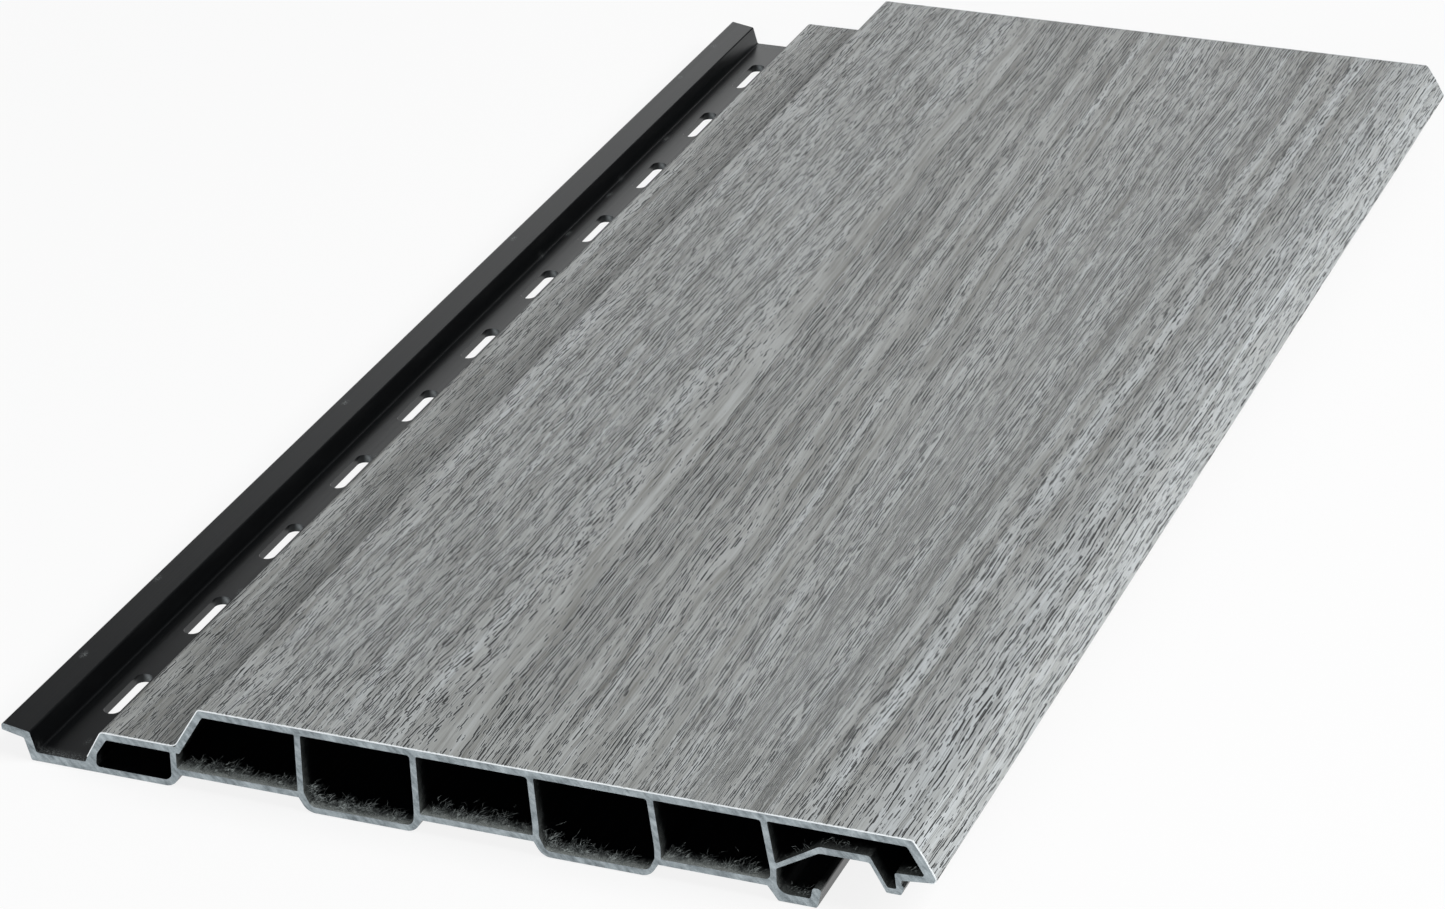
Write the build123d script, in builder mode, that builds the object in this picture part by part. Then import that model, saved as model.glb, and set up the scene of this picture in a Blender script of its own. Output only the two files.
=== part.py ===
from build123d import *
import math
import os

# A length of hollow wall cladding: one extruded PVC profile with a thin decor film on its face.
# Sections are drawn in millimetres, with x from the corner where the riser meets the face,
# towards the nose, and z up from the back. The panel lies on its back, its length along Y.

# Overall
length = 400.0
profile_thickness = 18.2
face_width = 145.5

# Walls
face_wall = 1.4
back_wall = 1.3
web_wall = 1.25

# Bays between the webs: every second one is shallow, its back raised off the wall, and the
# middle ones share the width that the first and the last leave. A web leans to the nose from
# the face down to its knee, and is upright below it.
raised_back = 2.9
first_bay = 27.3
middle_bays = 3
last_bay = 22.65
web_leans = (0.0, 0.0, 0.3, 0.75, 1.3, 1.8)
web_knee_level = 6.5
web_knee_radius = 8.0
bay_foot_set = 0.1
bay_foot_run = 1.75
bay_foot_radius = 3.0
bay_foot_wall = 0.75
bay_foot_knee_radius = 1.5
bay_heel_set = 1.3
bay_heel_run = 1.65
bay_heel_radius = 3.0
bay_heel_wall = 0.3
bay_radius = 0.35
bay_top_radius = 0.7
last_heel_radius = 1.2

# Ledge, the sunk strip that the next panel's nose covers
ledge_depth = 9.1
ledge_width = 16.3
ledge_slope_run = 4.0
ledge_slope_wall = 1.9
ledge_bay_lean = 0.68
ledge_bay_run = 0.35
ledge_bay_radius = 0.8
riser_run = 5.6
riser_web_set = 0.6

# Nailing flange with its slots, and the lip that the next panel hooks under
flange_thickness = 1.9
flange_width = 10.75
step_height = 4.4
step_run = 1.25
step_wall = 1.75
lip_width = 6.15
lip_rise = 1.0
lip_wall = 1.5
slot_width = 3.6
slot_length = 17.0
slot_pitch = 35.0
slot_line = 4.7
first_slot = 27.0
end_land = 5.0

# Hook: a bowl below the roof of the nose side, with an upturned lip
hook_web_back = 29.0
hook_foot_set = 0.6
hook_foot_run = 2.15
hook_floor = 1.75
hook_width = 6.65
hook_lip_wall = 1.8
hook_lip_height = 2.4
hook_lip_lean = 0.45
hook_lip_radius = 0.65
bowl_height = 6.9
bowl_foot_radius = 2.4
roof_height = 11.9
roof_wall = 1.4
roof_foot_wall = 1.0
roof_radius = 2.0
roof_end_radius = 0.9

# Nose: a bulging bevel, its underside, and the beaded nib that hangs from it
nose_run = 5.0
nose_drop = 8.15
nose_fall = 0.75
nose_floor = 1.4
bevel_bulge_run = 2.15
bevel_bulge_drop = 3.15
bevel_wall = 1.95
nose_bay_radius = 0.9
nib_set_back = 2.1
nib_width = 2.9
nib_height = 3.15
nib_wall = 1.15
nib_sway = 0.2
nib_back_run = 3.3
nib_back_wall = 0.85
bead = 0.55
bead_height = 1.6
bead_shoulder = 0.65

# Rounds
sharp_radius = 0.2
edge_radius = 0.45
ledge_radius = 1.0
face_radius = 0.7
bevel_radius = 8.0
nose_radius = 0.8

# Decor film, from part way down the ledge's slope to just under the nose
film_thickness = 0.2
film_drop = 6.0
film_tuck = 1.7
film_bridge_radius = 2.0

# Levels above the plane that the back lies on
face_level = profile_thickness
ceiling = face_level - face_wall
ledge_level = face_level - ledge_depth
shallow_floor = raised_back + back_wall
lip_level = flange_thickness + step_height
hook_lip_level = hook_floor + hook_lip_height
nose_level = face_level - nose_drop
nose_foot_level = nose_level - nose_fall
nib_level = nose_foot_level - nib_height

# Places across the panel
riser_foot = -riser_run
ledge_edge = riser_foot - ledge_width
slope_foot = ledge_edge - ledge_slope_run
step_foot = slope_foot - flange_width
step_edge = step_foot - step_run
step_outside = step_foot - step_wall
lip_tip = step_edge - lip_width
riser_web = riser_foot - riser_web_set
first_web = riser_web + first_bay
hook_web = face_width - hook_web_back
middle_bay = (hook_web - last_bay - first_web) / middle_bays
middle_webs = [first_web + number * middle_bay for number in range(middle_bays + 1)]
web_tops = (riser_web, *middle_webs, hook_web)
hook_number = len(web_tops) - 1
nose_tip = face_width + nose_run
nib_outside = face_width - nib_set_back
nib_inside = nib_outside - nib_width


def web_side(number, level, side):
    """Where a web's left (-1) or right (1) side is, leaning to the nose down to its knee."""
    fall = (ceiling - max(level, web_knee_level)) / (ceiling - web_knee_level)
    return web_tops[number] + web_leans[number] * fall + side * web_wall / 2


def web_knee(number, side):
    """The corner in a leaning web's side at its knee. An upright web has none."""
    knee = (web_side(number, web_knee_level, side), web_knee_level, web_knee_radius)
    return [knee] if web_leans[number] else []


def rounded_outline(corners):
    """A closed outline through (x, z, radius) corners."""
    places = [(x, z) for x, z, radius in corners]
    FilletPolyline(*places, radius=[radius for x, z, radius in corners], close=True)


# The lip and its step, seen from below: the step's inner side goes on down to the back
step_lean = step_run / step_height
step_heel = step_outside + step_lean * flange_thickness
lip_corner_level = lip_level - lip_wall
lip_corner = step_outside - step_lean * (lip_corner_level - flange_thickness)
lip_under = [
    (step_heel, 0, edge_radius),
    (lip_corner, lip_corner_level, edge_radius),
    (lip_tip, lip_level + lip_rise - lip_wall, edge_radius),
    (lip_tip, lip_level + lip_rise, edge_radius),
    (step_edge, lip_level, edge_radius),
    (step_foot, flange_thickness, edge_radius),
]

# The face side, which the film covers from the ledge to the nose
bevel_bulge = (face_width + bevel_bulge_run, face_level - bevel_bulge_drop)
decor_corners = [
    (ledge_edge, ledge_level, ledge_radius),
    (riser_foot, ledge_level, sharp_radius),
    (0, face_level, face_radius),
    (face_width, face_level, face_radius),
    (*bevel_bulge, bevel_radius),
    (nose_tip, nose_level, nose_radius),
]

# The nib below the nose, down its beaded outside and up its back to the roof
nib = [
    (nib_outside, nose_foot_level, sharp_radius),
    (nib_outside, nib_level + bead_height + bead_shoulder, sharp_radius),
    (nib_outside + bead, nib_level + bead_height, sharp_radius),
    (nib_outside, nib_level, edge_radius),
    (nib_inside, nib_level, edge_radius),
    (nib_inside - nib_back_run, roof_height, roof_end_radius),
]

# The hook, from the roof round its bowl, over its lip and back under its floor
hook_foot = web_side(hook_number, raised_back, -1) - hook_foot_set
bowl_top = web_side(hook_number, bowl_height, 1)
bowl_foot = web_side(hook_number, hook_floor, 1)
hook_lip = bowl_foot + hook_width
roof_bend = hook_lip + hook_lip_wall
hook_lip_top = hook_lip + hook_lip_lean
hook = [
    (roof_bend, roof_height, roof_radius),
    (bowl_top, bowl_height, edge_radius),
    (bowl_foot, hook_floor, bowl_foot_radius),
    (hook_lip, hook_floor, edge_radius),
    (hook_lip_top, hook_lip_level, hook_lip_radius),
    (hook_lip_top + hook_lip_wall, hook_lip_level, hook_lip_radius),
    (roof_bend - hook_lip_lean, 0, edge_radius),
    (hook_foot + hook_foot_run, 0, edge_radius),
    (hook_foot, raised_back, edge_radius),
]


# The back of the deep bays, each with a round heel on its right and a sloping foot on its left
def bay_foot(number):
    """Where the foot of the deep bay that starts at a web meets the raised back."""
    return web_side(number, raised_back, -1) + bay_foot_set


def bay_heel(number):
    """Where the heel of the deep bay that ends at a web meets the back plane."""
    return web_tops[number] + bay_heel_set - bay_heel_run


def heel_back(number):
    heel = bay_heel(number)
    return [(heel + bay_heel_run, raised_back, sharp_radius), (heel, 0, bay_heel_radius)]


def deep_back(number):
    foot = bay_foot(number)
    sole = [(foot + bay_foot_run, 0, bay_foot_radius), (foot, raised_back, sharp_radius)]
    return heel_back(number + 1) + sole


profile_corners = [
    (slope_foot, flange_thickness, sharp_radius),
    *decor_corners,
    *nib,
    *hook,
    *deep_back(3),
    *deep_back(1),
    *heel_back(0),
    *lip_under,
]

# The bays, as closed outlines to take out of the profile
inner_foot_radius = max(bay_foot_radius - back_wall, sharp_radius)
inner_heel_radius = max(bay_heel_radius - back_wall, sharp_radius)


def inner_heel(number):
    """The two corners inside a deep bay's heel, down its web to its floor."""
    return [
        (web_side(number, shallow_floor, -1), shallow_floor, edge_radius),
        (bay_heel(number) - bay_heel_wall, back_wall, inner_heel_radius),
    ]


ledge_ceiling = ledge_level - face_wall
slope_lean = ledge_slope_run / (ledge_level - flange_thickness)
ledge_bay_edge = ledge_edge - slope_lean * face_wall + ledge_slope_wall
ledge_bay_side = ledge_bay_edge - ledge_bay_lean * (ledge_ceiling - shallow_floor)
ledge_bay = [
    (ledge_bay_edge, ledge_ceiling, bay_radius),
    (web_side(0, ledge_ceiling, -1), ledge_ceiling, bay_radius),
    *inner_heel(0),
    (ledge_bay_side - ledge_bay_run, back_wall, ledge_bay_radius),
    (ledge_bay_side, shallow_floor, ledge_radius),
]

# The riser stands on the end of the ledge's wall, a little past the web that carries them both
riser_lean = riser_run / ledge_depth
riser_level_wall = face_wall * math.hypot(1, riser_lean)
riser_web_side = web_side(0, shallow_floor, 1)
riser_bay = [
    (riser_level_wall - riser_lean * face_wall, ceiling, edge_radius),
    (web_side(1, ceiling, -1), ceiling, bay_radius),
    (web_side(1, shallow_floor, -1), shallow_floor, bay_radius),
    (riser_web_side, shallow_floor, bay_radius),
    (riser_web_side, ledge_ceiling, sharp_radius),
    (riser_level_wall - riser_lean * (face_level - ledge_ceiling), ledge_ceiling, bay_radius),
]


def bay_sides(number, left_radius):
    """The corners of the bay between a web and the next, from its lower left one to its right knee."""
    return [
        (web_side(number, shallow_floor, 1), shallow_floor, left_radius),
        *web_knee(number, 1),
        (web_side(number, ceiling, 1), ceiling, bay_radius),
        (web_side(number + 1, ceiling, -1), ceiling, bay_top_radius),
        *web_knee(number + 1, -1),
    ]


def shallow_bay(number, right_radius):
    heel = (web_side(number + 1, shallow_floor, -1), shallow_floor, right_radius)
    return [*bay_sides(number, bay_radius), heel]


def deep_bay(number):
    sole = (bay_foot(number) + bay_foot_run + bay_foot_wall, back_wall, inner_foot_radius)
    return [*bay_sides(number, bay_foot_knee_radius), *inner_heel(number + 1), sole]


# The nose bay reaches over the hook and down into the nib
roof_top = roof_height + roof_wall
roof_foot = bowl_height + roof_foot_wall
nose_ceiling_end = face_width + bevel_bulge_run * face_wall / bevel_bulge_drop - bevel_wall
nose_bay_level = nose_level + nose_floor - nose_fall * (nose_run - bevel_bulge_run) / nose_run
bevel_lean = (nose_run - bevel_bulge_run) / (nose_drop - bevel_bulge_drop)
nib_bay_level = nib_level + nib_wall
nib_back_lean = nib_back_run / (roof_height - nib_level)
nib_bay_inside = nib_inside + nib_back_wall
nose_bay = [
    (web_side(hook_number, ceiling, 1), ceiling, bay_radius),
    (nose_ceiling_end, ceiling, nose_bay_radius),
    (nose_tip - bevel_wall - bevel_lean * (nose_bay_level - nose_level), nose_bay_level, bay_radius),
    (nib_outside - nib_wall - nib_sway, nose_foot_level + nose_floor, edge_radius),
    (nib_outside - nib_wall + nib_sway, nib_bay_level, bay_radius),
    (nib_bay_inside - nib_back_lean * nib_wall, nib_bay_level, bay_radius),
    (nib_bay_inside - nib_back_lean * (roof_top - nib_level), roof_top, roof_end_radius),
    (roof_bend, roof_top, roof_radius),
    (web_side(hook_number, roof_foot, 1), roof_foot, bay_radius),
]

bays = [
    ledge_bay,
    riser_bay,
    deep_bay(1),
    shallow_bay(2, bay_radius),
    deep_bay(3),
    shallow_bay(4, last_heel_radius),
    nose_bay,
]

with BuildSketch() as profile_section:
    with BuildLine():
        rounded_outline(profile_corners)
    make_face()
    for bay_corners in bays:
        with BuildLine():
            rounded_outline(bay_corners)
        make_face(mode=Mode.SUBTRACT)

# The film bends too stiffly for the corner at the riser's foot, and bridges it
film_start = (ledge_edge - slope_lean * film_drop, ledge_level - film_drop)
film_end_level = nose_level - nose_fall * film_tuck / (nose_tip - nib_outside)
film_line = [
    film_start,
    *[(x, z) for x, z, radius in decor_corners],
    (nose_tip - film_tuck, film_end_level),
]
film_radii = [radius for x, z, radius in decor_corners]
film_radii[1] = film_bridge_radius

with BuildSketch() as film_section:
    with BuildLine():
        FilletPolyline(*film_line, radius=film_radii)
        offset(amount=film_thickness, side=Side.LEFT)
    make_face()

# Both sections stand on the origin with the middle of the panel's width
middle = (profile_section.sketch + film_section.sketch).bounding_box().center().X
section_plane = Plane((-middle, 0, 0), x_dir=(1, 0, 0), z_dir=(0, -1, 0))

with BuildPart() as panel_profile:
    with BuildSketch(section_plane):
        add(profile_section.sketch)
    extrude(amount=length / 2, both=True)
    slot_count = int((length - first_slot - slot_length / 2 - end_land) / slot_pitch) + 1
    slot_places = [
        (slope_foot - slot_line, first_slot + number * slot_pitch) for number in range(slot_count)
    ]
    with BuildSketch(Plane((-middle, -length / 2, 0))):
        with Locations(*slot_places):
            SlotOverall(slot_length, slot_width, rotation=90)
    extrude(amount=flange_thickness, both=True, mode=Mode.SUBTRACT)

with BuildPart() as decor_film:
    with BuildSketch(section_plane):
        add(film_section.sketch)
    extrude(amount=length / 2, both=True)

panel_profile.part.label = "panel_profile"
decor_film.part.label = "decor_film"
os.makedirs("parts", exist_ok=True)
export_step(panel_profile.part, "parts/panel_profile.step")
export_step(decor_film.part, "parts/decor_film.step")
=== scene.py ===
import math

import bpy
import numpy as np
from mathutils import Matrix, Vector


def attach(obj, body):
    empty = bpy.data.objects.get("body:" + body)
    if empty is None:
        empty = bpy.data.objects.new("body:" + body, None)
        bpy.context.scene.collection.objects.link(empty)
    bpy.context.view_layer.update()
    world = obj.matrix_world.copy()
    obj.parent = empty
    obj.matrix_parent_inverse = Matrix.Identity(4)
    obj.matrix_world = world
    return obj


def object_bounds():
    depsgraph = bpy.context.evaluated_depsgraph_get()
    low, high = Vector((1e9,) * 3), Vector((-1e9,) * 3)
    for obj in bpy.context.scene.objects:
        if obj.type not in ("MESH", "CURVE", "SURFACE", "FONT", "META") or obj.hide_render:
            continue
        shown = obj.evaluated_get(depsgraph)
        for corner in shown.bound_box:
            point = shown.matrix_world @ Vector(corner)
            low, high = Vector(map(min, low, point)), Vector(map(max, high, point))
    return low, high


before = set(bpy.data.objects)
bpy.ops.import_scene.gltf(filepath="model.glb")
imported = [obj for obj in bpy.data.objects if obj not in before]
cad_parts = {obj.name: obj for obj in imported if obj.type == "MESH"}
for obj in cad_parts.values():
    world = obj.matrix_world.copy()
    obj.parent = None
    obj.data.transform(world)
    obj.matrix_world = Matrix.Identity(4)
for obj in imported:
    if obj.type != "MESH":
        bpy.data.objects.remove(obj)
cad_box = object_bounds()
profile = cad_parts["panel_profile"]
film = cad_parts["decor_film"]


# The profile: one extruded length of rigid PVC, coloured right through. It leaves the die with a
# satin, nearly black skin, and a saw then cuts it to length, which leaves its ends pale grey and
# the walls behind them dusty.
class Shading:
    """A node tree with short calls for the nodes that the materials and the groups use most."""

    def __init__(self, tree):
        self.tree = tree

    def add(self, kind, inputs, **settings):
        """A node, with its inputs by name or number: another node's output, or a value."""
        node = self.tree.nodes.new("ShaderNode" + kind)
        for name, value in settings.items():
            setattr(node, name, value)
        for name, value in inputs.items():
            if isinstance(value, bpy.types.NodeSocket):
                self.tree.links.new(value, node.inputs[name])
            else:
                node.inputs[name].default_value = value
        return node

    def math(self, operation, *values):
        return self.add("Math", dict(enumerate(values)), operation=operation).outputs[0]

    def sum(self, first, *others):
        for other in others:
            first = self.math("ADD", first, other)
        return first

    def product(self, first, *others):
        for other in others:
            first = self.math("MULTIPLY", first, other)
        return first

    def step(self, value, low, high):
        """0 at low and 1 at high, with a smooth rise between them."""
        limits = {"Value": value, "From Min": low, "From Max": high}
        return self.add("MapRange", limits, interpolation_type="SMOOTHSTEP").outputs["Result"]

    def scaled(self, value, low, high):
        """From low to high as value goes from 0 to 1."""
        return self.add("MapRange", {"Value": value, "To Min": low, "To Max": high}).outputs["Result"]

    def point(self, x, y, z=0.0):
        return self.add("CombineXYZ", {"X": x, "Y": y, "Z": z}).outputs[0]

    def cells(self, *sizes):
        """A point counted in cells, from (coordinate, cell size) pairs."""
        return self.point(*[self.math("DIVIDE", coordinate, size) for coordinate, size in sizes])

    def noise(self, place, detail=2.0):
        """Soft noise from 0 to 1 with one cell to each unit of place."""
        return self.add("TexNoise", {"Vector": place, "Scale": 1.0, "Detail": detail}).outputs["Fac"]

    def swing(self, place, reach, **noise):
        """Soft noise that goes up and down about 0, about as far as reach."""
        return self.math("MULTIPLY_ADD", self.noise(place, **noise), 2 * reach, -reach)

    def mix(self, amount, first, second):
        return self.add("Mix", {0: amount, 6: first, 7: second}, data_type="RGBA").outputs[2]

    def tones(self, value, *stops):
        """A colour ramp through (place, colour) stops."""
        ramp = self.add("ValToRGB", {0: value})
        elements = ramp.color_ramp.elements
        for number, (place, tone) in enumerate(stops):
            element = elements[number] if number < 2 else elements.new(place)
            element.position = place
            element.color = tone
        return ramp

    def group(self, group, **inputs):
        """A group's node. Underscores in an input's name stand for spaces."""
        named = {name.replace("_", " "): value for name, value in inputs.items()}
        return self.add("Group", named, node_tree=group).outputs

    def feed(self, surface, **values):
        """Leads each value to the shader's input of that name."""
        for name, value in values.items():
            self.tree.links.new(value, surface.inputs[name.replace("_", " ")])

    def relief(self, height, strength):
        """The normal that a height in millimetres gives."""
        bump = {"Height": height, "Distance": 1 / mm_per_metre, "Strength": strength}
        return self.add("Bump", bump).outputs[0]


def new_group(name, inputs, outputs):
    """An empty shader group with number inputs and their defaults, and number outputs."""
    tree = bpy.data.node_groups.new(name, "ShaderNodeTree")
    for socket, default in inputs.items():
        made = tree.interface.new_socket(socket, in_out="INPUT", socket_type="NodeSocketFloat")
        made.default_value = default
    for socket in outputs:
        tree.interface.new_socket(socket, in_out="OUTPUT", socket_type="NodeSocketFloat")
    return Shading(tree), tree.nodes.new("NodeGroupInput").outputs


def close_group(shading, **results):
    """Leads each result to the group's output of that name."""
    end = shading.tree.nodes.new("NodeGroupOutput")
    for name, value in results.items():
        shading.tree.links.new(value, end.inputs[name])
    return shading.tree


def colour(red, green, blue):
    """A colour as it looks on a screen, from 0 to 255, turned into the linear one shaders take."""
    screen = np.array([red, green, blue]) / 255
    linear = np.where(screen > 0.04045, ((screen + 0.055) / 1.055) ** 2.4, screen / 12.92)
    return (*linear.tolist(), 1.0)


def new_material(name):
    """A material with a Principled BSDF, which is returned with its tree."""
    material = bpy.data.materials.new(name)
    material.use_nodes = True
    return material, Shading(material.node_tree), material.node_tree.nodes["Principled BSDF"]


# Across the panel, places are counted in millimetres from the face's left edge, as on its
# drawing, where the lip's tip is this far to the left
mm_per_metre = 1000.0
lip_reach = 44.05
face_left = mm_per_metre * cad_box[0][0] + lip_reach
half_length = mm_per_metre * cad_box[1][1]

# Where a point of the object is: across from the face's left edge, along from the middle to the
# far end, up from the floor, and how deep it is behind the nearer saw cut
shading, given = new_group("place_on_panel", {}, ("Across", "Along", "Up", "Depth"))
place = shading.tree.nodes.new("ShaderNodeTexCoord").outputs["Object"]
in_mm = shading.add("VectorMath", {0: place, "Scale": mm_per_metre}, operation="SCALE").outputs[0]
axes = shading.add("SeparateXYZ", {0: in_mm}).outputs
place_on_panel = close_group(
    shading,
    Across=shading.math("SUBTRACT", axes[0], face_left),
    Along=axes[1],
    Up=axes[2],
    Depth=shading.math("SUBTRACT", half_length, shading.math("ABSOLUTE", axes[1])),
)

# How far a point is into the saw cut: 1 on the cut face and 0 on the skin
cut_depth = 0.04
shading, given = new_group("sawn_end", {"Depth": 0.0}, ("Cut",))
sawn_end = close_group(shading, Cut=shading.step(given["Depth"], cut_depth, cut_depth / 2))

# Saw marks: soft slanting scrapes across the wall, with a finer mottle over them
shading, given = new_group("saw_marks", {"Across": 0.0, "Up": 0.0}, ("Tone",))
over_scrape = shading.math("ADD", given["Across"], given["Up"])
with_scrape = shading.math("SUBTRACT", given["Across"], given["Up"])
scrape_cells = shading.cells((over_scrape, 1.3), (with_scrape, 5.0))
scrapes = shading.swing(scrape_cells, 0.9, detail=2.0)
smears = shading.swing(shading.cells((given["Across"], 5.0), (given["Up"], 2.5)), 0.7)
mottle_cells = shading.cells((given["Across"], 0.35), (given["Up"], 0.35))
mottle = shading.swing(mottle_cells, 0.4, detail=2.0)
saw_marks = close_group(shading, Tone=shading.sum(0.5, scrapes, smears, mottle))

# Faint lines that the die draws along the length
shading, given = new_group("die_lines", {"Across": 0.0, "Along": 0.0, "Up": 0.0}, ("Lines",))
drawn = shading.cells((given["Across"], 0.5), (given["Along"], 160.0), (given["Up"], 0.5))
die_lines = close_group(shading, Lines=shading.noise(drawn, detail=3.0))

# Saw dust behind a cut: it lies on what faces up inside the bays and the hook, clings to what
# faces right, most of all low down, and thins out with the depth. The hook holds less of it, and
# left of the riser's web and above the bays there is none.
floor_dust_reach = 4.4
full_floor_dust = 0.2 * floor_dust_reach
wall_dust_reach = 4.2
high_wall_dust = 0.28
low_wall_dust = 0.6
wall_dust_levels = (13.0, 3.0)
hook_dust = 0.45
hook_start = (117.0, 119.0)
bays_start = (-6.3, -6.1)
bays_top = (17.0, 16.9)
floor_facing_up = (0.35, 0.85)
wall_facing_right = (0.6, 0.9)
mean_dust = 0.75
shading, given = new_group(
    "saw_dust", {"Across": 0.0, "Up": 0.0, "Depth": 0.0, "Level": 0.0, "Rightward": 0.0}, ("Dust",)
)
clump_cells = shading.cells((given["Across"], 1.1), (given["Depth"], 1.6), (given["Up"], 1.1))
clumps = shading.swing(clump_cells, 1.8, detail=3.0)
grain_cells = shading.cells((given["Across"], 0.22), (given["Depth"], 0.3), (given["Up"], 0.22))
grains = shading.swing(grain_cells, 0.5, detail=3.0)
ragged_depth = shading.sum(given["Depth"], clumps)
on_floor = shading.product(
    shading.step(given["Level"], *floor_facing_up),
    shading.step(ragged_depth, floor_dust_reach, full_floor_dust),
    shading.scaled(shading.step(given["Across"], *hook_start), 1.0, hook_dust),
)
low_wall = shading.step(given["Up"], *wall_dust_levels)
on_wall = shading.product(
    shading.step(given["Rightward"], *wall_facing_right),
    shading.step(ragged_depth, wall_dust_reach, 0.0),
    shading.scaled(low_wall, high_wall_dust, low_wall_dust),
)
in_bays = shading.product(
    shading.step(given["Across"], *bays_start), shading.step(given["Up"], *bays_top)
)
thickest = shading.math("MAXIMUM", on_floor, on_wall)
dust = shading.product(in_bays, thickest, shading.sum(mean_dust, grains))
saw_dust = close_group(shading, Dust=dust)

# Specks of dust on the lip and the flange: a few round patches, at most one to a cell, whose
# radius is a share of it, and a smudge on the flange behind each cut, all broken up by noise
speck_radius = (0.13, 0.02)
speck_chance = (0.72, 0.95)
speck_breaks = (0.45, 0.65)
smudge_depth = (3.5, 0.3)
smudge_start = (-37.6, -35.6)
smudge_share = 0.8
flange_end = (-23.0, -24.0)
shading, given = new_group("dust_specks", {"Across": 0.0, "Along": 0.0, "Depth": 0.0}, ("Specks",))
speck_cells = shading.cells((given["Across"], 7.0), (given["Along"], 16.0))
speck = shading.add("TexVoronoi", {"Vector": speck_cells, "Scale": 1.0}, voronoi_dimensions="2D").outputs
speck_lot = shading.add("SeparateXYZ", {0: speck["Color"]}).outputs[0]
patch = shading.product(
    shading.step(speck["Distance"], *speck_radius), shading.step(speck_lot, *speck_chance)
)
smudge = shading.product(
    shading.step(given["Depth"], *smudge_depth),
    shading.step(given["Across"], *smudge_start),
    smudge_share,
)
broken = shading.noise(shading.cells((given["Across"], 0.35), (given["Along"], 0.35)), detail=3.0)
specks = shading.product(
    shading.math("MAXIMUM", patch, smudge),
    shading.step(given["Across"], *flange_end),
    shading.step(broken, *speck_breaks),
)
dust_specks = close_group(shading, Specks=specks)

# The skin, its specks, the dust and the saw cut lie over each other in this order. The slots are
# punched, which leaves their walls paler than the skin, and the pale tone is also painted light: it
# goes only on the walls at their far ends, where they don't face right, and the other walls stay dark.
skin_dark = colour(2, 2, 3)
skin_pale = colour(8, 9, 10)
cut_dark = colour(101, 109, 113)
cut_pale = colour(158, 167, 171)
dust_dark = colour(40, 44, 44)
dust_pale = colour(204, 211, 208)
speck_pale = colour(112, 116, 116)
punched_painted_light_dark = colour(84, 88, 90)
punched_painted_light_pale = colour(136, 141, 143)
slot_line = -30.6
slot_walls = (2.3, 2.1)
facing_near_end = (-0.5, -0.95)
facing_left = (0.6, -0.2)
skin_roughness = (0.26, 0.36)
speck_roughness = 0.3
cut_roughness = 0.75
line_depth = 0.015
saw_depth = 0.05
dust_depth = 0.25

dark_pvc, shading, surface = new_material("dark_pvc")
place = shading.group(place_on_panel)
normal = shading.add("NewGeometry", {}).outputs["Normal"]
facing = shading.add("SeparateXYZ", {0: normal}).outputs
cut = shading.group(sawn_end, Depth=place["Depth"])["Cut"]
saw = shading.group(saw_marks, Across=place["Across"], Up=place["Up"])["Tone"]
lines = shading.group(die_lines, Across=place["Across"], Along=place["Along"], Up=place["Up"])["Lines"]
dust = shading.group(
    saw_dust,
    Across=place["Across"],
    Up=place["Up"],
    Depth=place["Depth"],
    Level=facing["Z"],
    Rightward=facing["X"],
)["Dust"]
specks = shading.group(
    dust_specks, Across=place["Across"], Along=place["Along"], Depth=place["Depth"]
)["Specks"]
from_slots = shading.math("ABSOLUTE", shading.math("SUBTRACT", place["Across"], slot_line))
# Painted light: the pale punched tone goes only on slot walls that face the near end and not right
punched_and_painted_light = shading.product(
    shading.step(facing["Y"], *facing_near_end),
    shading.step(facing["X"], *facing_left),
    shading.step(from_slots, *slot_walls),
    shading.math("SUBTRACT", 1.0, cut),
)
drawn_skin = shading.mix(lines, skin_dark, skin_pale)
skin = shading.mix(punched_and_painted_light, drawn_skin, shading.mix(saw, punched_painted_light_dark, punched_painted_light_pale))
specked = shading.mix(specks, skin, speck_pale)
dusty = shading.mix(dust, specked, shading.mix(dust, dust_dark, dust_pale))
sawn = shading.mix(saw, cut_dark, cut_pale)
smooth_part = shading.sum(
    shading.scaled(lines, *skin_roughness), shading.product(specks, speck_roughness)
)
rough_part = shading.product(shading.math("MAXIMUM", cut, dust), cut_roughness)
height = shading.sum(
    shading.product(lines, line_depth),
    shading.product(saw, cut, saw_depth),
    shading.product(dust, dust_depth),
)
shading.feed(
    surface,
    Base_Color=shading.mix(cut, dusty, sawn),
    Roughness=shading.math("MAXIMUM", smooth_part, rough_part),
    Normal=shading.relief(height, 1.0),
)
surface.inputs["Specular IOR Level"].default_value = 0.3
surface.inputs["Specular Tint"].default_value = (0.92, 0.98, 1.0, 1.0)
profile.data.materials.clear()
profile.data.materials.append(dark_pvc)


# The shavings: curled threads of PVC that the saw throws into the open bays, the hook and the
# nose. They lie loose on the floors just behind the near cut, in banks that are thickest beside
# the web on their left.
shaving_sides = 3
shaving_points = 7
near_cut = mm_per_metre * cad_box[0][1]


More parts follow.
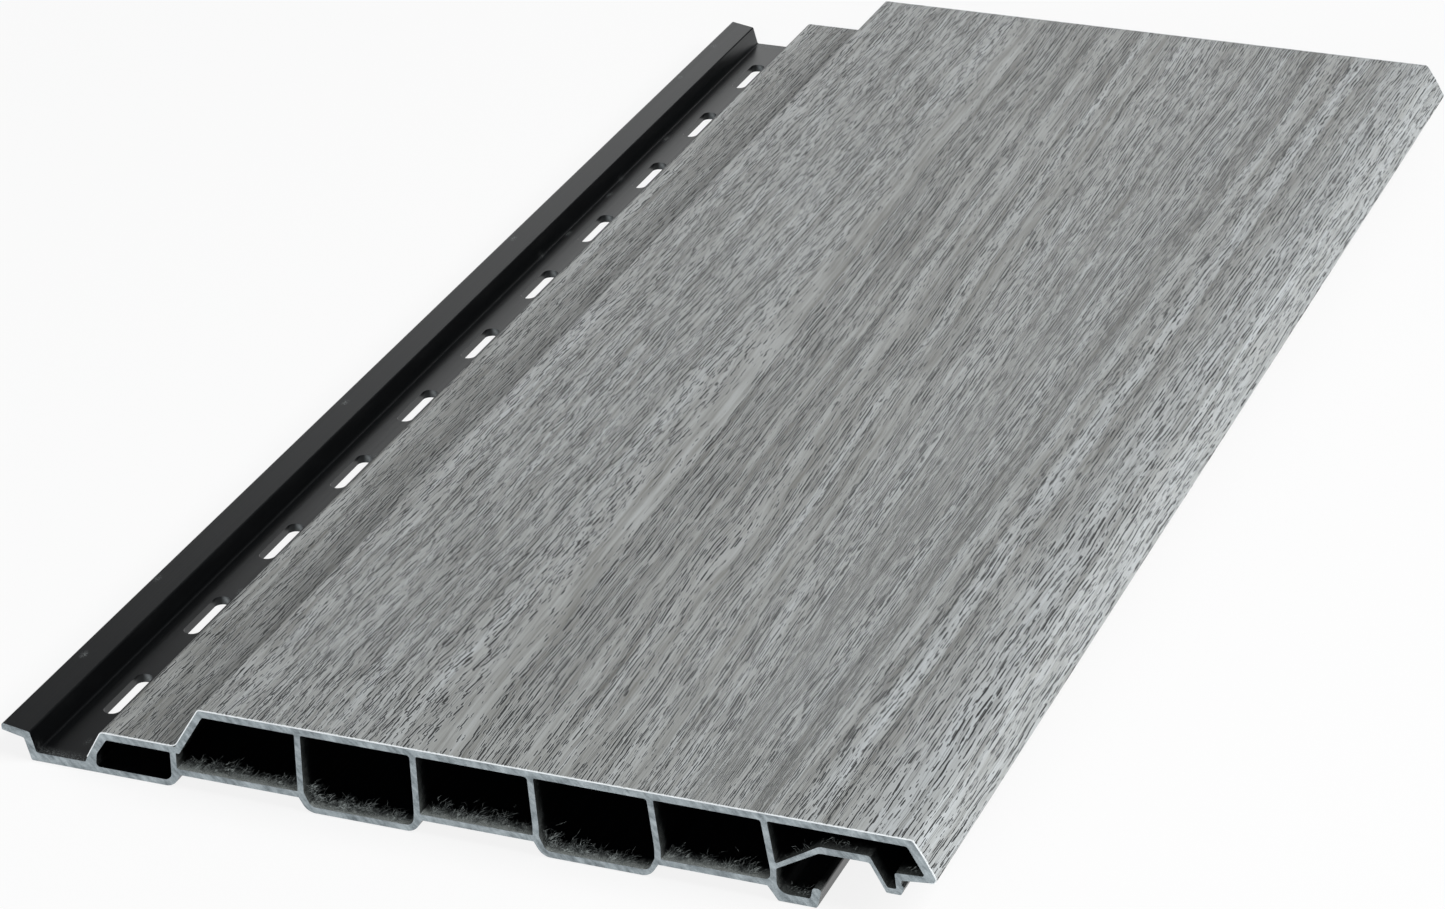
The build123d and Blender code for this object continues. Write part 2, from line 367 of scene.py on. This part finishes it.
def curled_threads(starts, headings, lengths, curls, radii):
    """Points of tapered tubes along curled lines, as threads, points along, corners round, xyz.

    A thread runs from its start along its heading, and swings off that line by its curl: sideways
    as a sine and upwards as one minus a cosine. Round each of its points lies a ring of corners,
    whose radius is the thread's times a quarter, plus three quarters of a half sine along it.
    """
    along = np.linspace(0, 1, shaving_points)[None, :, None]
    level = np.cross(headings, (0.0, 0.0, 1.0))
    level /= np.linalg.norm(level, axis=1, keepdims=True)
    raised = np.cross(level, headings)
    turns = curls[:, 1:2, None] * 2 * np.pi
    phase = curls[:, 2:3, None] * 2 * np.pi
    sway = curls[:, 0:1, None] * np.sin(turns * along + phase)
    lift = curls[:, 0:1, None] * (1 - np.cos(turns * along))
    line = starts[:, None] + headings[:, None] * lengths[:, None, None] * along
    line = line + level[:, None] * sway + raised[:, None] * lift
    ring = np.arange(shaving_sides) * 2 * np.pi / shaving_sides
    reach = radii[:, None, None, None] * (0.25 + 0.75 * np.sin(np.pi * along))[..., None]
    sideways = np.cos(ring)[:, None] * level[:, None, None]
    upwards = np.sin(ring)[:, None] * raised[:, None, None]
    return line[:, :, None] + reach * (sideways + upwards)


def tube_faces(threads):
    """Side and end faces of that many threads, as corner numbers of curled_threads' points."""
    corner = np.arange(threads * shaving_points * shaving_sides)
    corner = corner.reshape(threads, shaving_points, shaving_sides)
    turned = np.roll(corner, -1, axis=2)
    sides = np.stack([corner[:, :-1], corner[:, 1:], turned[:, 1:], turned[:, :-1]], axis=-1)
    ends = [*corner[:, 0].tolist(), *corner[:, -1, ::-1].tolist()]
    return [*sides.reshape(-1, 4).tolist(), *ends]


# Some heaps are pale and some dark, and the threads are mottled
shaving_dark = colour(28, 33, 33)
shaving_pale = colour(176, 184, 182)
mottle_edge = (0.3, 0.7)
heap_edge = (0.38, 0.62)
dark_heap = 0.15
shaving_roughness = (0.5, 0.8)
pale_shavings, shading, surface = new_material("pale_shavings")
place = shading.group(place_on_panel)
mottle_cells = shading.cells((place["Across"], 0.5), (place["Depth"], 0.7), (place["Up"], 0.4))
mottled = shading.noise(mottle_cells, detail=3.0)
heaped = shading.noise(shading.cells((place["Across"], 2.4), (place["Depth"], 1.4)), detail=2.0)
heap = shading.scaled(shading.step(heaped, *heap_edge), dark_heap, 1.0)
tone = shading.product(shading.step(mottled, *mottle_edge), heap)
shading.feed(
    surface,
    Base_Color=shading.mix(tone, shaving_dark, shaving_pale),
    Roughness=shading.scaled(mottled, *shaving_roughness),
)

# The threads' least and greatest length, curl, turns and radius, their headings, and how they
# spread round the tufts, in millimetres, turns and radians
thread_lengths = (0.5, 2.4)
thread_curls = (0.04, 0.24)
thread_turns = (0.3, 1.1)
thread_radii = (0.02, 0.055)
mean_heading = 0.5
heading_spread = 1.0
rise_spread = 0.2
tuft_strengths = (0.1, 1.0)
tuft_spread = 0.9
weak_depth_spread = 0.7
strong_depth_spread = 2.0
least_behind = 0.3
least_above = 0.05
bank_fade = 3.5


def lay_shavings(name, bed, tufts, threads, bank, seed):
    """A bank of shavings over a bed, a line of (across, up) places, in millimetres.

    Tufts stand at even steps along the bed with a random shift each, and their random strength
    falls to half at its end. Each thread starts at a tuft that is drawn by strength, a normally
    spread way beside it and behind the cut, further behind a strong one, and above the bed by the
    bank's height times that strength, the square of a random share, and a fading exponential of
    the way behind. What would start past either end of the bed is turned back onto it. A heading
    turns to the right from straight in by a normally spread angle, and rises by another.
    """
    draw = np.random.default_rng(seed)
    bed = np.array(bed)
    reached = np.concatenate([[0], np.cumsum(np.linalg.norm(np.diff(bed, axis=0), axis=1))])
    tuft_share = (np.arange(tufts) + draw.random(tufts)) / tufts
    strength = (1 - 0.5 * tuft_share) * draw.uniform(*tuft_strengths, tufts)
    tuft = draw.choice(tufts, threads, p=strength / strength.sum())
    way = tuft_share[tuft] * reached[-1] + draw.normal(0, tuft_spread, threads)
    way = np.abs(way) - 2 * np.maximum(np.abs(way) - reached[-1], 0)
    across = np.interp(way, reached, bed[:, 0])
    bed_level = np.interp(way, reached, bed[:, 1])
    depth_spread = weak_depth_spread + strong_depth_spread * strength[tuft]
    behind = least_behind + np.abs(draw.normal(0, depth_spread, threads))
    height = bank * strength[tuft] * np.exp(-behind / bank_fade)
    up = bed_level + least_above + height * draw.random(threads) ** 2
    starts = np.stack([across + face_left, near_cut + behind, up], axis=1) / mm_per_metre
    turn = draw.normal(mean_heading, heading_spread, threads)
    rise = np.abs(draw.normal(0.0, rise_spread, threads))
    headings = np.stack(
        [np.sin(turn) * np.cos(rise), np.abs(np.cos(turn)) * np.cos(rise), np.sin(rise)], axis=1
    )
    lengths = draw.uniform(*thread_lengths, threads) / mm_per_metre
    curl = draw.uniform(*thread_curls, threads) / mm_per_metre
    turns = draw.uniform(*thread_turns, threads)
    phase = draw.random(threads)
    radii = draw.uniform(*thread_radii, threads) / mm_per_metre
    curls = np.stack([curl, turns, phase], axis=1)
    points = curled_threads(starts, headings, lengths, curls, radii)
    mesh = bpy.data.meshes.new(name)
    mesh.from_pydata(points.reshape(-1, 3).tolist(), [], tube_faces(threads))
    mesh.materials.append(pale_shavings)
    shavings = bpy.data.objects.new(name, mesh)
    bpy.context.collection.objects.link(shavings)
    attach(shavings, "root")


# Each bank's name and bed, and then its tufts, threads, height and seed
lay_shavings("shavings_riser_bay", [(-5.0, 4.22), (19.5, 4.22)], 12, 480, 1.0, 2)
lay_shavings("shavings_first_deep_bay", [(22.1, 4.3), (23.7, 1.32), (43.0, 1.32)], 10, 560, 1.3, 3)
lay_shavings("shavings_shallow_bay", [(47.0, 4.22), (68.0, 4.22)], 10, 420, 1.0, 4)
lay_shavings("shavings_second_deep_bay", [(71.2, 4.3), (72.9, 1.32), (92.0, 1.32)], 10, 420, 1.1, 5)
lay_shavings("shavings_last_bay", [(95.9, 4.3), (115.0, 4.22)], 8, 260, 0.8, 6)
lay_shavings("shavings_hook_bowl", [(120.4, 2.2), (121.6, 1.77), (124.4, 1.77)], 3, 40, 0.3, 7)
lay_shavings("shavings_hook_roof", [(135.0, 13.32), (128.0, 13.32), (120.0, 8.6)], 8, 45, 0.1, 8)
lay_shavings("shavings_nose_floor", [(142.8, 10.8), (146.0, 11.0)], 2, 8, 0.1, 9)


# The decor film: a foil of PVC, printed and embossed, laminated hot onto the face. The print is a
# grey weathered wood, with bands, flames and short dark pores in rows along the length, and the
# saw leaves a pale line at the film's edge.

# Where a point of the film is across the decor, as if it lay flat: the slopes at both sides are
# unrolled by adding a share of their height, outwards from the face
face_level = 18.4
face_middle = 72.75
girth_lean = 0.56
shading, given = new_group("place_on_film", {"Across": 0.0, "Up": 0.0}, ("Girth",))
side = shading.math("SIGN", shading.math("SUBTRACT", face_middle, given["Across"]))
fall = shading.product(shading.math("SUBTRACT", given["Up"], face_level), girth_lean)
place_on_film = close_group(shading, Girth=shading.math("MULTIPLY_ADD", fall, side, given["Across"]))

# The bands' drift: how far each one, at its place at the far end, moves towards the nose by the
# near end, in millimetres
drift_start = -40.0
drift_end = 170.0
least_drift = -6.0
most_drift = 15.0
drifts = (
    (-40, 1.0), (-10, 1.5), (10, 3.7), (30, 5.0), (50, 11.4), (70, 13.9), (90, 11.2), (108, 1.5),
    (125, -4.8), (138, -4.2), (150, -2.0),
)
shading, given = new_group("band_drift", {"Flow": 0.0}, ("Drift",))
drift_width = drift_end - drift_start
past_start = shading.math("SUBTRACT", given["Flow"], drift_start)
stops = []
for place, drift in drifts:
    share = (drift - least_drift) / (most_drift - least_drift)
    stops.append(((place - drift_start) / drift_width, (share, share, share, 1)))
ramp = shading.tones(shading.math("DIVIDE", past_start, drift_width), *stops)
ramp.color_ramp.interpolation = "EASE"
band_drift = close_group(shading, Drift=shading.scaled(ramp.outputs[0], least_drift, most_drift))

# The grain's flow: a coordinate across the print that is the same all along one fibre. It takes
# off the drift, by three rounds of guessing, opens round small knots, and adds slow and quick
# wanders. A knot has its place across and along, its half width and half length, and its push.
drift_rounds = 3
knots = ((35.0, -161.0, 3.0, 7.0, 1.0), (72.0, -104.0, 5.0, 16.0, 1.8), (84.0, 60.0, 5.0, 22.0, 1.4))
shading, given = new_group("grain_flow", {"Girth": 0.0, "Along": 0.0}, ("Flow",))
nearness = shading.math("MULTIPLY_ADD", given["Along"], -0.5 / half_length, 0.5)
flow = given["Girth"]
for _ in range(drift_rounds):
    drift = shading.group(band_drift, Flow=flow)["Drift"]
    flow = shading.math("SUBTRACT", given["Girth"], shading.product(nearness, drift))
for across, along, width, length, push in knots:
    over = shading.math("DIVIDE", shading.math("SUBTRACT", given["Girth"], across), width)
    past = shading.math("DIVIDE", shading.math("SUBTRACT", given["Along"], along), length)
    away = shading.math("ADD", shading.product(over, over), shading.product(past, past))
    swell = shading.math("EXPONENT", shading.product(away, -1.0))
    flow = shading.math("SUBTRACT", flow, shading.product(over, swell, push))
wander = shading.swing(shading.cells((given["Girth"], 24.0), (given["Along"], 70.0)), 1.2)
ripple = shading.swing(shading.cells((given["Girth"], 6.0), (given["Along"], 26.0)), 0.5)
quiver = shading.swing(shading.cells((given["Girth"], 1.7), (given["Along"], 3.4)), 0.12)
grain_flow = close_group(shading, Flow=shading.sum(flow, wander, ripple, quiver))

# The print's stripes, as places across the flow, how pale each is and how thick its pores lie, on
# both sides of the stripe in the middle
stripe_middle = 62.0
ledge_side_stripes = (
    (-40, 0.4, 0.6), (-27, 0.36, 0.6), (-25.5, 0.5, 0.5), (-23.5, 0.28, 0.7), (-21, 0.36, 0.6),
    (-18, 0.3, 0.7), (-12, 0.34, 0.7), (-4, 0.37, 0.6), (2.5, 0.56, 0.6), (6.5, 0.42, 0.7),
    (9, 0.44, 0.7), (13, 0.56, 0.6), (15.5, 0.46, 0.7), (19, 0.5, 0.7), (24, 0.5, 0.6),
    (27, 0.55, 0.7), (30.5, 0.43, 0.72), (34, 0.6, 0.6), (38.6, 0.44, 0.6), (41.2, 0.37, 0.22),
    (43.6, 0.37, 0.2), (44.6, 0.3, 0.72), (46, 0.3, 0.72), (47.5, 0.36, 0.7), (50, 0.38, 0.7),
    (52, 0.3, 0.72), (54, 0.37, 0.7), (55.5, 0.41, 0.28), (58, 0.3, 0.72), (59.5, 0.33, 0.72),
    (stripe_middle, 0.5, 0.6),
)
nose_side_stripes = (
    (stripe_middle, 0.5, 0.6), (63.5, 0.38, 0.28), (66, 0.36, 0.6), (69.5, 0.32, 0.72),
    (71.5, 0.64, 0.6), (75, 0.34, 0.6), (77.5, 0.33, 0.18), (79, 0.4, 0.72), (84.5, 0.57, 0.6),
    (88, 0.5, 0.7), (91, 0.57, 0.7), (95, 0.38, 0.6), (98, 0.5, 0.6), (101, 0.42, 0.7),
    (106, 0.49, 0.7), (110.5, 0.66, 0.72), (115, 0.33, 0.72), (118, 0.32, 0.72),
    (119.6, 0.36, 0.72), (121, 0.68, 0.7), (123.5, 0.48, 0.28), (125, 0.42, 0.72),
    (126.7, 0.34, 0.72), (128, 0.66, 0.6), (130, 0.86, 0.6), (131.6, 0.7, 0.6), (132.6, 0.3, 0.6),
    (134.5, 0.38, 0.6), (138.5, 0.68, 0.6), (143, 0.78, 0.6), (147, 0.72, 0.6), (160, 0.7, 0.6),
)


def striped(shading, flow, stripes):
    """How pale and how porous the print is, from its stripes."""
    first, last = stripes[0][0], stripes[-1][0]
    share = shading.math("DIVIDE", shading.math("SUBTRACT", flow, first), last - first)
    stops = [((place - first) / (last - first), (pale, porous, 0, 1)) for place, pale, porous in stripes]
    return shading.tones(share, *stops).outputs[0]


# The print's tone: stripes, and over them flames and fine streaks whose ends are ragged, because
# every fibre shifts them lengthwise
shading, given = new_group("wood_tone", {"Flow": 0.0, "Along": 0.0}, ("Pale", "Porous"))
past_middle = shading.math("GREATER_THAN", given["Flow"], stripe_middle)
stripes = shading.mix(
    past_middle,
    striped(shading, given["Flow"], ledge_side_stripes),
    striped(shading, given["Flow"], nose_side_stripes),
)
broad = shading.add("SeparateColor", {0: stripes}).outputs
tongues = shading.swing(shading.cells((given["Flow"], 0.4), (given["Along"], 60.0)), 12.0, detail=1.0)
ragged = shading.math("ADD", given["Along"], tongues)
flames = shading.swing(shading.cells((given["Flow"], 2.0), (ragged, 22.0)), 0.37, detail=3.0)
streaks = shading.swing(shading.cells((given["Flow"], 0.8), (given["Along"], 110.0)), 0.5, detail=3.0)
clouds = shading.swing(shading.cells((given["Flow"], 30.0), (given["Along"], 80.0)), 0.1, detail=0.0)
wood_tone = close_group(
    shading, Pale=shading.sum(broad["Red"], flames, streaks, clouds), Porous=broad["Green"]
)

# Pores: short dark cuts in rows along the grain, each with a pale rim that is a painted highlight.
# Each row has its own place and start, and noise along it says where a cut opens and how wide, more
# often where the print is porous and in slow crowds. A tilt sets each cut a little askew in its row.
row_places = (0.25, 0.75)
row_shift = 90.0
row_apart = 3.7
least_chances = (0.66, 0.38)
crowd_width = 2.5
crowd_length = 14.0
crowd_share = 0.06
opening_reach = 0.08
pore_edge = (-0.02, 0.03)
painted_highlight_edge = (-0.2, -0.02)
shading, given = new_group(
    "pore_rows",
    {
        "Flow": 0.0, "Along": 0.0, "Porous": 0.5, "Pitch": 1.0, "Length": 10.0, "Width": 0.3,
        "Tilt": 0.0, "Seed": 0.0,
    },
    ("Pore", "Rim"),
)
counted = shading.math("ADD", shading.math("DIVIDE", given["Flow"], given["Pitch"]), given["Seed"])
row = shading.math("FLOOR", counted)
lots = shading.add("TexWhiteNoise", {"W": row}, noise_dimensions="1D").outputs["Color"]
lot = shading.add("SeparateColor", {0: lots}).outputs
lengths_run = shading.math("DIVIDE", given["Along"], given["Length"])
run = shading.math("ADD", lengths_run, shading.product(lot["Green"], row_shift))
slant = shading.product(shading.math("SUBTRACT", shading.math("FRACT", run), 0.5), given["Tilt"])
centre = shading.math("ADD", shading.scaled(lot["Red"], *row_places), slant)
off_centre = shading.math("ABSOLUTE", shading.math("SUBTRACT", shading.math("FRACT", counted), centre))
chance = shading.noise(shading.point(run, shading.product(row, row_apart), given["Seed"]), detail=1.0)
crowd_across = shading.math("DIVIDE", given["Flow"], crowd_width)
crowd_along = shading.math("DIVIDE", given["Along"], crowd_length)
crowds = shading.swing(shading.point(crowd_across, crowd_along, given["Seed"]), crowd_share, detail=0.0)
least = shading.math("SUBTRACT", shading.scaled(given["Porous"], *least_chances), crowds)
opening = shading.step(chance, least, shading.math("ADD", least, opening_reach))
half_width = shading.product(opening, given["Width"], shading.math("DIVIDE", 0.5, given["Pitch"]))
inside = shading.product(shading.math("SUBTRACT", half_width, off_centre), given["Pitch"])
# Painted highlight: a pale ring round each open pore
painted_highlight = shading.product(shading.step(inside, *painted_highlight_edge), shading.step(opening, 0.0, 0.5))
pore_rows = close_group(shading, Pore=shading.step(inside, *pore_edge), Rim=painted_highlight)

# The film's ink and relief: the toned print, broad dark lines, a painted highlight as a pale rim
# round the pores, and then the pores and the finest fibres. Pores on the ledge's side are askew.
print_dark = colour(109, 109, 104)
print_middle = colour(164, 166.5, 165)
print_pale = colour(190, 195, 197)
pore_dark = colour(32, 34, 34)
film_edge = colour(226, 231, 233)
askew_side = (50.0, 38.0)
most_short_tilt = 0.3
most_long_tilt = 0.4
short_pore_share = 0.9
fibre_share = 0.5
line_share = 0.35
painted_highlight_share = 0.32
edge_depth = (0.3, 0.12)
print_roughness = (0.46, 0.62)
pore_depth = -0.05
fibre_depth_share = 0.2
relief_share = 0.8

decor, shading, surface = new_material("wood_decor_film")
place = shading.group(place_on_panel)
girth = shading.group(place_on_film, Across=place["Across"], Up=place["Up"])["Girth"]
flow = shading.group(grain_flow, Girth=girth, Along=place["Along"])["Flow"]
tone = shading.group(wood_tone, Flow=flow, Along=place["Along"])
grain = {"Flow": flow, "Along": place["Along"], "Porous": tone["Porous"]}
askew = shading.step(flow, *askew_side)
short_tilt = shading.product(askew, most_short_tilt)
long_tilt = shading.product(askew, most_long_tilt)
short_pores = shading.group(
    pore_rows, **grain, Pitch=0.56, Length=2.8, Width=0.2, Tilt=short_tilt, Seed=9.4
)
long_pores = shading.group(pore_rows, **grain, Pitch=0.8, Length=7.0, Width=0.24, Tilt=long_tilt)
fibres = shading.group(pore_rows, **grain, Pitch=0.32, Length=14.0, Width=0.13, Seed=4.2)["Pore"]
dark_lines = shading.group(pore_rows, **grain, Pitch=2.3, Length=45.0, Width=0.9, Seed=2.7)["Pore"]
short_share = shading.product(short_pores["Pore"], short_pore_share)
pores = shading.math("MAXIMUM", long_pores["Pore"], short_share)
painted_highlights = shading.math("MAXIMUM", long_pores["Rim"], short_pores["Rim"])
stops = ((0.05, print_dark), (0.5, print_middle), (1.0, print_pale))
toned = shading.tones(tone["Pale"], *stops).outputs[0]
lined = shading.mix(shading.product(dark_lines, line_share), toned, print_dark)
# Painted highlight: the print is lifted to its pale tone in a rim round each pore
raised = shading.mix(shading.product(painted_highlights, painted_highlight_share), lined, print_pale)
cuts = shading.math("MAXIMUM", pores, shading.product(fibres, fibre_share))
inked = shading.mix(cuts, raised, pore_dark)
burr = shading.swing(shading.cells((place["Across"], 0.35), (place["Up"], 0.35)), 0.35, detail=2.0)
frayed = shading.step(shading.math("ADD", place["Depth"], burr), *edge_depth)
sunk = shading.math("ADD", pores, shading.product(fibres, fibre_depth_share))
shading.feed(
    surface,
    Base_Color=shading.mix(frayed, inked, film_edge),
    Roughness=shading.scaled(pores, *print_roughness),
    Normal=shading.relief(shading.product(sunk, pore_depth), relief_share),
)
film.data.materials.clear()
film.data.materials.append(decor)


# The studio: a pale floor that shows white to the camera and keeps the panel's soft shadow, a
# broad soft box to the right, a fill at the sawn end, a low one behind that the dark skin mirrors,
# and a long lens at the photo's place.
floor_size = 6.0
floor_gap = 0.0002
floor_colour = (0.9, 0.9, 0.9, 1.0)
floor_roughness = 0.9
shadow_share = 0.15
plain_white = (1.0, 1.0, 1.0, 1.0)
sky_colour = (0.93, 0.96, 1.0, 1.0)
sky_strength = 0.12
corners = np.array([(-1, -1), (1, -1), (1, 1), (-1, 1)]) * floor_size / 2
floor_mesh = bpy.data.meshes.new("floor")
floor_mesh.from_pydata([(x, y, -floor_gap) for x, y in corners], [], [(0, 1, 2, 3)])
floor = bpy.data.objects.new("floor", floor_mesh)
bpy.context.collection.objects.link(floor)
pale_floor, shading, surface = new_material("pale_floor")
surface.inputs["Base Color"].default_value = floor_colour
surface.inputs["Roughness"].default_value = floor_roughness
rays = shading.tree.nodes.new("ShaderNodeLightPath").outputs
seen = rays["Is Camera Ray"]
for other in ("Is Glossy Ray", "Is Transmission Ray"):
    seen = shading.math("MAXIMUM", seen, rays[other])
white = shading.add("Emission", {"Color": plain_white, "Strength": 1.0}).outputs[0]
lit = shading.product(seen, 1 - shadow_share)
mixed = shading.add("MixShader", {0: lit, 1: surface.outputs[0], 2: white}).outputs[0]
shading.tree.links.new(mixed, shading.tree.nodes["Material Output"].inputs["Surface"])
floor_mesh.materials.append(pale_floor)

world = bpy.data.worlds.new("studio")
bpy.context.scene.world = world
world.use_nodes = True
shading = Shading(world.node_tree)
world.node_tree.nodes.clear()
rays = world.node_tree.nodes.new("ShaderNodeLightPath").outputs
around = shading.add("Background", {"Color": sky_colour, "Strength": sky_strength}).outputs[0]
backdrop = shading.add("Background", {"Color": plain_white, "Strength": 1.0}).outputs[0]
mixed = shading.add("MixShader", {0: rays["Is Camera Ray"], 1: around, 2: backdrop}).outputs[0]
output = world.node_tree.nodes.new("ShaderNodeOutputWorld")
world.node_tree.links.new(mixed, output.inputs["Surface"])


def soft_box(name, place, size, power):
    """A square area lamp that faces the panel."""
    lamp = bpy.data.lights.new(name, "AREA")
    lamp.shape = "SQUARE"
    lamp.size = size
    lamp.energy = power
    box = bpy.data.objects.new(name, lamp)
    toward = -Vector(place)
    box.matrix_world = Matrix.Translation(place) @ toward.to_track_quat("-Z", "Y").to_matrix().to_4x4()
    bpy.context.collection.objects.link(box)


soft_box("key_box", (1.5, 0.0, 1.6), 1.6, 48.0)
soft_box("front_box", (0.3, -2.2, 0.5), 1.2, 34.0)
soft_box("gloss_box", (-0.8, 2.6, 0.9), 1.4, 9.0)

camera_place = Vector((0.3293, -0.8830, 0.4580))
camera_aim = Vector((0.0029, -0.0645, 0.0184))
camera_roll = math.radians(-1.27)
lens = bpy.data.cameras.new("camera")
lens.lens = 115.24
lens.sensor_width = 36.0
lens.sensor_fit = "HORIZONTAL"
camera = bpy.data.objects.new("camera", lens)
turn = (camera_aim - camera_place).to_track_quat("-Z", "Y").to_matrix().to_4x4()
camera.matrix_world = Matrix.Translation(camera_place) @ turn @ Matrix.Rotation(camera_roll, 4, "Z")
bpy.context.collection.objects.link(camera)
bpy.context.scene.camera = camera
bpy.context.scene.view_settings.view_transform = "Standard"
